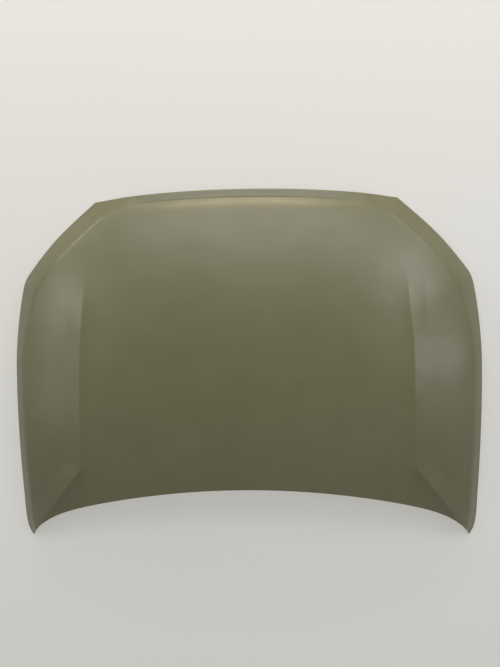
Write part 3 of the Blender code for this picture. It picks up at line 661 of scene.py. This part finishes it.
def press_pads(points):
    for pad in (HINGE_PAD, STAY_PAD, LATCH_PAD):
        beyond = np.hypot(np.maximum(np.abs(points[..., 0] - pad[0]) - pad[2] / 2 - PAD_FLAT, 0),
                          np.maximum(np.abs(points[..., 1] - pad[1]) - pad[3] / 2 - PAD_FLAT, 0))
        share = 1.0 - smooth(beyond / PAD_RIM)
        points[..., 2] += (pad_level(pad) - points[..., 2]) * share
    return points


def panel_points(plan, u, v):
    points = on_skin(plan)
    points[..., 2] -= drop_below_skin(u, v)
    return press_pads(points)


def bilinear(values, xs, ys, x, y):
    i = np.clip(np.searchsorted(xs, x, side="right") - 1, 0, len(xs) - 2)
    j = np.clip(np.searchsorted(ys, y, side="right") - 1, 0, len(ys) - 2)
    a = ((x - xs[i]) / (xs[i + 1] - xs[i]))[:, None]
    b = ((y - ys[j]) / (ys[j + 1] - ys[j]))[:, None]
    low = values[j, i] * (1 - a) + values[j, i + 1] * a
    high = values[j + 1, i] * (1 - a) + values[j + 1, i + 1] * a
    return low * (1 - b) + high * b


column_widths = np.concatenate([np.diff(CENTRE_SHARES) * 0.50, np.diff(WING_SHARES) * 0.20])
row_widths = np.diff(ROW_SHARES) * 0.95
column_at = np.concatenate([[0.0], np.cumsum(column_widths)])
row_at = np.concatenate([[0.0], np.cumsum(row_widths)])
us = stations(column_widths, 4)
vs = stations(row_widths, 4)
split = int(np.argmin(np.abs(us - 14)))
panel_grid = PlanGrid(np.interp(us[:split + 1], range(15), CENTRE_SHARES),
                      np.interp(us[split + 1:] - 14, range(5), WING_SHARES),
                      np.interp(vs, range(18), ROW_SHARES))
xs = np.interp(us, range(19), column_at)
ys = np.interp(vs, range(18), row_at)
mid_u, mid_v = np.meshgrid((us[:-1] + us[1:]) / 2, (vs[:-1] + vs[1:]) / 2)
keep = np.ones(mid_u.shape, bool)
for (left, right), (low, high) in OPENINGS:
    keep &= ~((mid_u > left - 1) & (mid_u < right + 1) & (mid_v > low - 1) & (mid_v < high + 1))
grid_u, grid_v = np.meshgrid(us, vs)
panel = HalfSheet(panel_points(panel_grid.plan, grid_u, grid_v), keep)


def add_collar(columns, rows):
    """Rings of points from the grid to one rounded opening and its turned-up edge."""
    i0, i1 = [int(np.argmin(np.abs(us - k))) for k in (columns[0] - 1, columns[1] + 1)]
    j0, j1 = [int(np.argmin(np.abs(vs - k))) for k in (rows[0] - 1, rows[1] + 1)]
    walk = [(i, j0) for i in range(i0, i1)] + [(i1, j) for j in range(j0, j1)]
    walk += [(i, j1) for i in range(i1, i0, -1)] + [(i0, j) for j in range(j1, j0, -1)]
    walk = np.array(walk)
    ring = walk[:, 1] * len(us) + walk[:, 0]
    outer = np.stack([xs[walk[:, 0]], ys[walk[:, 1]]], 1)
    low = np.array([column_at[columns[0]], row_at[rows[0]]]) + OPENING_CORNER
    high = np.array([column_at[columns[1]], row_at[rows[1]]]) - OPENING_CORNER
    core = np.clip(outer, low, high)
    away = outer - core
    away /= np.linalg.norm(away, axis=1)[:, None]
    rim = core + away * OPENING_CORNER
    for share in (0.14, 0.28, 0.42, 0.56, 0.70, 0.85, 1.0):
        ring = join_ring(ring, outer + (rim - outer) * share, 0.0)
    for inward, lift in ((0.0012, 0.0003), (0.0021, 0.0012), (0.0024, 0.0026), (0.0024, 0.0050)):
        ring = join_ring(ring, rim - away * inward, lift)


def join_ring(ring, spots, lift):
    plan = bilinear(panel_grid.plan, xs, ys, spots[:, 0], spots[:, 1])
    points = panel_points(plan, np.interp(spots[:, 0], column_at, range(19)),
                          np.interp(spots[:, 1], row_at, range(18)))
    points[:, 2] += lift
    new = np.arange(len(points)) + panel.count
    panel.quads.append(np.stack([ring, np.roll(ring, -1), np.roll(new, -1), new], -1))
    panel.points.append(points)
    panel.count += len(points)
    return new


for columns, rows in OPENINGS:
    add_collar(columns, rows)

band = panel_grid.band
flange = [(band + BAND_SOFT, DEEP), (band, 0.019), (band * 0.78, 0.009),
          (np.full(len(band), 0.0125), 0.0017), (np.full(len(band), 0.0100), FOLD_R)]
for step, ((wide, deep), (narrow, shallow)) in enumerate(zip(flange, flange[1:])):
    for share in (0.25, 0.5, 0.75, 1.0):
        points = on_skin(panel_grid.at(wide + (narrow - wide) * share))
        points[:, 2] -= deep + (shallow - deep) * (smooth(share) if step == 0 else share)
        panel.grow(press_pads(points))
for distance in HEM_RINGS:
    plan = panel_grid.at(distance)
    panel.grow(on_skin(plan) + down_normals(plan) * FOLD_R)
inner = panel.solid("inner_panel_sheet", INNER_T)


def screw_places():
    for side in (-1, 1):
        for end in (-1, 1):
            yield side * HINGE_PAD[0], HINGE_PAD[1] + end * HINGE_PITCH / 2, pad_level(HINGE_PAD)
        yield side * STAY_PAD[0], STAY_PAD[1], pad_level(STAY_PAD)
        yield side * LATCH_PITCH / 2, LATCH_PAD[1], pad_level(LATCH_PAD)


def punch_holes(piece, places, sharp):
    """Cuts an upright screw hole through the piece at each place."""
    punch_mesh = bmesh.new()
    for place in places:
        made = bmesh.ops.create_cone(punch_mesh, cap_ends=True, segments=40, depth=0.012,
                                     radius1=SCREW_HOLE / 2, radius2=SCREW_HOLE / 2)
        bmesh.ops.translate(punch_mesh, verts=made["verts"], vec=place)
    punches = bpy.data.meshes.new("punches")
    punch_mesh.to_mesh(punches)
    punch_mesh.free()
    punch = bpy.data.objects.new("punches", punches)
    bpy.context.scene.collection.objects.link(punch)
    cut = piece.modifiers.new("screw_holes", "BOOLEAN")
    cut.operation = "DIFFERENCE"
    cut.solver = "EXACT"
    cut.object = punch
    piece.data = bpy.data.meshes.new_from_object(piece.evaluated_get(bpy.context.evaluated_depsgraph_get()))
    piece.modifiers.clear()
    bpy.data.objects.remove(punch)
    piece.data.set_sharp_from_angle(angle=math.radians(sharp))


punch_holes(inner, screw_places(), 40)
keep_in_box(inner, *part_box("inner_panel"))

inside_primer = primer.copy()
inside_primer.name = "satin_olive_dip_primer_inside"
inner.data.materials.append(inside_primer)
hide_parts("inner_panel")
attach(inner, "root")


# Striker plate
# A 3 mm steel strip with punched corners, bolted under the nose to the latch
# pad. Bright zinc plate over the cut and rolled steel.

STRIKER_T = 0.003
STRIKER_SIZE = (0.116, 0.046)
STRIKER_CORNER = 0.005
STRIKER_EDGE = 0.0005
FIT_GAP = 0.0003
latch_seat = pad_level(LATCH_PAD) - INNER_T / 2 - FIT_GAP

plate_mesh = bmesh.new()
bmesh.ops.create_cube(plate_mesh, size=1.0)
bmesh.ops.scale(plate_mesh, vec=(*STRIKER_SIZE, STRIKER_T), verts=plate_mesh.verts)
upright = [e for e in plate_mesh.edges if abs(e.verts[0].co.z - e.verts[1].co.z) > STRIKER_T / 2]
bmesh.ops.bevel(plate_mesh, geom=upright, offset=STRIKER_CORNER, segments=8, affect="EDGES", profile=0.5)
rims = [e for e in plate_mesh.edges if abs(e.verts[0].co.z - e.verts[1].co.z) < STRIKER_T / 2]
bmesh.ops.bevel(plate_mesh, geom=rims, offset=STRIKER_EDGE, segments=3, affect="EDGES", profile=0.5)
bmesh.ops.translate(plate_mesh, verts=plate_mesh.verts, vec=(0, LATCH_PAD[1], latch_seat - STRIKER_T / 2))
bmesh.ops.recalc_face_normals(plate_mesh, faces=plate_mesh.faces)
striker = bpy.data.meshes.new("striker_plate_strip")
plate_mesh.to_mesh(striker)
plate_mesh.free()
striker.polygons.foreach_set("use_smooth", [True] * len(striker.polygons))
striker_plate = bpy.data.objects.new("striker_plate_strip", striker)
bpy.context.scene.collection.objects.link(striker_plate)
punch_holes(striker_plate, [(side * LATCH_PITCH / 2, LATCH_PAD[1], latch_seat) for side in (-1, 1)], 35)

# Zinc electroplate: a pale bluish metal with small cloudy grains of differing
# brightness, duller patches where it has been handled and faint rolling lines.
zinc = bpy.data.materials.new("bright_zinc_plated_steel")
zinc.use_nodes = True
tree = zinc.node_tree
shader = tree.nodes["Principled BSDF"]
shader.inputs["Metallic"].default_value = 1.0
place = add(tree, "ShaderNodeTexCoord").outputs["Object"]
grain = add(tree, "ShaderNodeTexVoronoi", {"Scale": 420.0}, Vector=place)
shade = add(tree, "ShaderNodeValToRGB", Fac=grain.outputs["Color"])
shade.color_ramp.elements[0].color = linear("#A6A9AB")
shade.color_ramp.elements[1].color = linear("#BEC1C2")
tree.links.new(shade.outputs["Color"], shader.inputs["Base Color"])
handled = add(tree, "ShaderNodeTexNoise", {"Scale": 60.0, "Detail": 4.0}, Vector=place)
dull = add(tree, "ShaderNodeMapRange", {"To Min": 0.28, "To Max": 0.48}, Value=handled.outputs["Fac"])
tree.links.new(dull.outputs["Result"], shader.inputs["Roughness"])
rolled = add(tree, "ShaderNodeMapping", {"Scale": (60.0, 1500.0, 400.0)}, Vector=place)
lines = add(tree, "ShaderNodeTexNoise", {"Scale": 1.0, "Detail": 2.0}, Vector=rolled.outputs["Vector"])
rough = add(tree, "ShaderNodeBump", {"Strength": 0.35, "Distance": 0.00003}, Height=lines.outputs["Fac"])
tree.links.new(rough.outputs["Normal"], shader.inputs["Normal"])
striker_plate.data.materials.clear()
striker_plate.data.materials.append(zinc)
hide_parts("striker_plate")
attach(striker_plate, "root")


# Striker loop
# 8 mm round steel wire bent to a U and welded to the plate by its two feet. The
# latch's claw closes round its lower bar.

LOOP_D = 0.008
LOOP_SPAN = 0.036
LOOP_DROP = 0.040
LOOP_BEND = 0.009


def new_tree(name, inputs):
    """A Geometry Nodes tree with named inputs, each of the kind given."""
    made = bpy.data.node_groups.new(name, "GeometryNodeTree")
    made.interface.new_socket("Geometry", in_out="INPUT", socket_type="NodeSocketGeometry")
    for title, kind in inputs.items():
        made.interface.new_socket(title, in_out="INPUT", socket_type="NodeSocket" + kind)
    made.interface.new_socket("Geometry", in_out="OUTPUT", socket_type="NodeSocketGeometry")
    return made, add(made, "NodeGroupInput"), add(made, "NodeGroupOutput")


def grown(name, mesh, tree, sizes):
    """The plain mesh that a tree makes of a start mesh with these sizes."""
    start = bpy.data.objects.new(name + "_start", mesh)
    bpy.context.scene.collection.objects.link(start)
    maker = start.modifiers.new("maker", "NODES")
    maker.node_group = tree
    for item in tree.interface.items_tree:
        if item.in_out == "INPUT" and item.name in sizes:
            maker[item.identifier] = sizes[item.name]
    start.update_tag()
    made = bpy.data.meshes.new_from_object(start.evaluated_get(bpy.context.evaluated_depsgraph_get()))
    made.name = name
    bpy.data.objects.remove(start)
    made.polygons.foreach_set("use_smooth", [True] * len(made.polygons))
    made.set_sharp_from_angle(angle=math.radians(35))
    piece = bpy.data.objects.new(name, made)
    bpy.context.scene.collection.objects.link(piece)
    return piece


wire, given, made = new_tree("striker_wire", {"Wire Radius": "Float", "Bend Radius": "Float"})
path = add(wire, "GeometryNodeMeshToCurve", Mesh=given.outputs["Geometry"])
bends = add(wire, "GeometryNodeFilletCurve", {"mode": "POLY", "Count": 12}, Curve=path.outputs["Curve"],
            Radius=given.outputs["Bend Radius"])
section = add(wire, "GeometryNodeCurvePrimitiveCircle", {"Resolution": 28},
              Radius=given.outputs["Wire Radius"])
bar = add(wire, "GeometryNodeCurveToMesh", {"Fill Caps": True}, Curve=bends.outputs["Curve"],
          Profile_Curve=section.outputs["Curve"])
real = add(wire, "GeometryNodeRealizeInstances", Geometry=bar.outputs["Mesh"])
coat = add(wire, "GeometryNodeSetMaterial", {"Material": zinc}, Geometry=real.outputs["Geometry"])
wire.links.new(coat.outputs["Geometry"], made.inputs["Geometry"])
loop_y, loop_top = LATCH_PAD[1], latch_seat - FIT_GAP - STRIKER_T
line = bpy.data.meshes.new("loop_path")
line.from_pydata([(0, loop_y - LOOP_SPAN / 2, loop_top), (0, loop_y - LOOP_SPAN / 2, loop_top - LOOP_DROP),
                  (0, loop_y + LOOP_SPAN / 2, loop_top - LOOP_DROP), (0, loop_y + LOOP_SPAN / 2, loop_top)],
                 [(0, 1), (1, 2), (2, 3)], [])
striker_loop = grown("striker_loop_wire", line, wire, {"Wire Radius": LOOP_D / 2, "Bend Radius": LOOP_BEND})
keep_in_box(striker_loop, *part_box("striker_loop"))
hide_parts("striker_loop")
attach(striker_loop, "root")


# Striker bolts
# Two M8 flange bolts, zinc plated, that clamp the striker plate to the weld nuts
# behind the latch pad. Each hexagon head is chamfered above its pressed flange.

BOLT_HEAD_R = 0.0065
BOLT_HEAD_H = 0.0055
BOLT_FLANGE_R = 0.009
BOLT_FLANGE_T = 0.0015
BOLT_SHANK_R = 0.004
BOLT_REACH = 0.0130
RING_SIDES = 48


def ringed(name, rings, cap=True):
    """A closed round solid from rings of (radius or radii, height), lowest first."""
    made = bmesh.new()
    count = RING_SIDES
    angles = [k * 2 * math.pi / count for k in range(count)]
    loops = []
    for radius, z in rings:
        radii = np.broadcast_to(radius, count)
        loops.append([made.verts.new((r * math.cos(t), r * math.sin(t), z)) for r, t in zip(radii, angles)])
    pairs = list(zip(loops, loops[1:])) + ([] if cap else [(loops[-1], loops[0])])
    for low, high in pairs:
        for k in range(count):
            made.faces.new((low[k], low[(k + 1) % count], high[(k + 1) % count], high[k]))
    if cap:
        made.faces.new(loops[0][::-1])
        made.faces.new(loops[-1])
    bmesh.ops.recalc_face_normals(made, faces=made.faces)
    mesh = bpy.data.meshes.new(name)
    made.to_mesh(mesh)
    made.free()
    return bpy.data.objects.new(name, mesh)


set_out, given, made = new_tree("set_out", {"Piece": "Object", "Finish": "Material"})
turn = add(set_out, "GeometryNodeInputNamedAttribute", {"data_type": "FLOAT_VECTOR", "Name": "turn"})
pattern = add(set_out, "GeometryNodeObjectInfo", Object=given.outputs["Piece"])
copies = add(set_out, "GeometryNodeInstanceOnPoints", Points=given.outputs["Geometry"],
             Instance=pattern.outputs["Geometry"], Rotation=turn.outputs["Attribute"])
real = add(set_out, "GeometryNodeRealizeInstances", Geometry=copies.outputs["Instances"])
coat = add(set_out, "GeometryNodeSetMaterial", Geometry=real.outputs["Geometry"],
           Material=given.outputs["Finish"])
set_out.links.new(coat.outputs["Geometry"], made.inputs["Geometry"])


def set_out_piece(name, piece, spots, finish, turns=None):
    """One plain mesh that holds a copy of a piece at each spot."""
    bpy.context.scene.collection.objects.link(piece)
    points = bpy.data.meshes.new(name + "_spots")
    points.from_pydata([tuple(map(float, spot)) for spot in spots], [], [])
    if turns is not None:
        points.attributes.new("turn", "FLOAT_VECTOR", "POINT").data.foreach_set("vector", np.ravel(turns))
    whole = grown(name, points, set_out, {"Piece": piece, "Finish": finish})
    bpy.data.objects.remove(piece)
    return whole


turn_at = np.arange(RING_SIDES) * 2 * math.pi / RING_SIDES
hexagon = BOLT_HEAD_R / np.max([np.abs(np.cos(turn_at - k * math.pi / 3)) for k in range(3)], axis=0)
head_low = -BOLT_FLANGE_T - BOLT_HEAD_H
bolt = ringed("flange_bolt", [
    (0.0042, head_low + 0.0004), (0.0048, head_low), (0.0059, head_low),
    (np.minimum(hexagon, 0.0067), head_low + 0.0003), (hexagon, head_low + 0.0011),
    (hexagon, -BOLT_FLANGE_T - 0.0006), (0.0078, -BOLT_FLANGE_T - 0.0002), (0.0086, -0.0010),
    (BOLT_FLANGE_R, -0.0007), (BOLT_FLANGE_R, -0.0001), (0.0089, 0.0),
    (BOLT_SHANK_R, 0.0), (BOLT_SHANK_R, BOLT_REACH - 0.0008), (0.0032, BOLT_REACH)])
bolt_seat = loop_top - FIT_GAP
striker_bolts = set_out_piece("striker_flange_bolts", bolt,
                              [(side * LATCH_PITCH / 2, LATCH_PAD[1], bolt_seat) for side in (-1, 1)], zinc)
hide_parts("striker_bolt_left", "striker_bolt_right")
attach(striker_bolts, "root")


# Welds
# The beads that hold the loop's feet to the striker plate, and the electrode marks
# of the spot welds that join each pad to the reinforcement behind it.

SPOT_R = 0.0026
SPOT_DEEP = 0.00012

bead = ringed("loop_bead", [(0.0036, -0.0019), (0.0040, -0.0021), (0.0043, -0.0017), (0.00455, -0.0010),
                            (0.0048, -0.0004), (0.0050, 0.0), (0.0036, 0.0)], cap=False)
beads = set_out_piece("loop_weld_beads", bead,
                      [(0, loop_y + side * LOOP_SPAN / 2, loop_top + FIT_GAP) for side in (-1, 1)], zinc)
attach(beads, "root")

spot_places = []
for pad, across, along in ((HINGE_PAD, (-0.0115, 0.0115), (-0.046, -0.015, 0.015, 0.046)),
                           (STAY_PAD, (-0.0115, 0.0115), (-0.026, 0.0, 0.026))):
    for side in (-1, 1):
        for dx in across:
            for dy in along:
                spot_places.append((side * (pad[0] + dx), pad[1] + dy, pad_level(pad) - INNER_T / 2))
mark = ringed("spot_mark", [(SPOT_R - 0.0009, -SPOT_DEEP * 0.2), (SPOT_R - 0.0005, -SPOT_DEEP),
                            (SPOT_R - 0.0002, -SPOT_DEEP), (SPOT_R, 0.0), (SPOT_R - 0.0009, 0.0001)],
              cap=False)
marks = set_out_piece("spot_weld_marks", mark, spot_places, inside_primer)
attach(marks, "root")


# Mastic pads
# Ten soft dabs of anti-flutter mastic, pumped on the ribs' lands, pressed flat
# under the skin and baked. They keep the skin from drumming.

MASTIC_R = 0.013
MASTIC_PLAY = 0.0006
MASTIC_PROFILE = ((0.5, -0.5), (0.90, -0.5), (0.955, -0.44), (0.99, -0.25), (1.0, 0.0),
                  (0.985, 0.26), (0.95, 0.44), (0.88, 0.5), (0.5, 0.5))

spots, turns = [], []
for name in sorted(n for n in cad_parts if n.startswith("mastic_pad")):
    box_low, box_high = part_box(name)
    centre = [(a + b) / 2 for a, b in zip(box_low, box_high)]
    lean = -down_normals(np.array([[abs(centre[0]), centre[1]]]))[0] * (math.copysign(1, centre[0]), 1, 1)
    spots.append(centre)
    turns.append(Vector((0, 0, 1)).rotation_difference(Vector(lean)).to_euler()[:])
thick = LAND - SKIN_T / 2 - INNER_T / 2 - 2 * FIT_GAP - MASTIC_PLAY
dab = ringed("mastic_dab", [(MASTIC_R * f, thick * h) for f, h in MASTIC_PROFILE])
mastic = bpy.data.materials.new("anti_flutter_mastic")
mastic.use_nodes = True
tree = mastic.node_tree
shader = tree.nodes["Principled BSDF"]
shader.inputs["Roughness"].default_value = 0.8
place = add(tree, "ShaderNodeTexCoord").outputs["Object"]
mottle = add(tree, "ShaderNodeTexNoise", {"Scale": 250.0, "Detail": 3.0}, Vector=place)
shade = add(tree, "ShaderNodeValToRGB", Fac=mottle.outputs["Fac"])
shade.color_ramp.elements[0].color = linear("#2B2A28")
shade.color_ramp.elements[1].color = linear("#3A3936")
tree.links.new(shade.outputs["Color"], shader.inputs["Base Color"])
pits = add(tree, "ShaderNodeTexVoronoi", {"Scale": 700.0}, Vector=place)
pitted = add(tree, "ShaderNodeBump", {"Strength": 0.6, "Distance": 0.0002}, Height=pits.outputs["Distance"])
tree.links.new(pitted.outputs["Normal"], shader.inputs["Normal"])
dabs = set_out_piece("mastic_dabs", dab, spots, mastic, turns)
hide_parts(*sorted(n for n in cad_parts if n.startswith("mastic_pad")))
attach(dabs, "root")


# Reinforcements and weld nuts
# 2 mm steel plates spot-welded behind the pads before the primer dip, and the
# plated M8 nuts that were projection-welded to them.

for name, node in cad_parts.items():
    if "reinforcement" in name:
        node.data.materials[0] = inside_primer
    elif "nut" in name:
        node.data.materials[0] = zinc
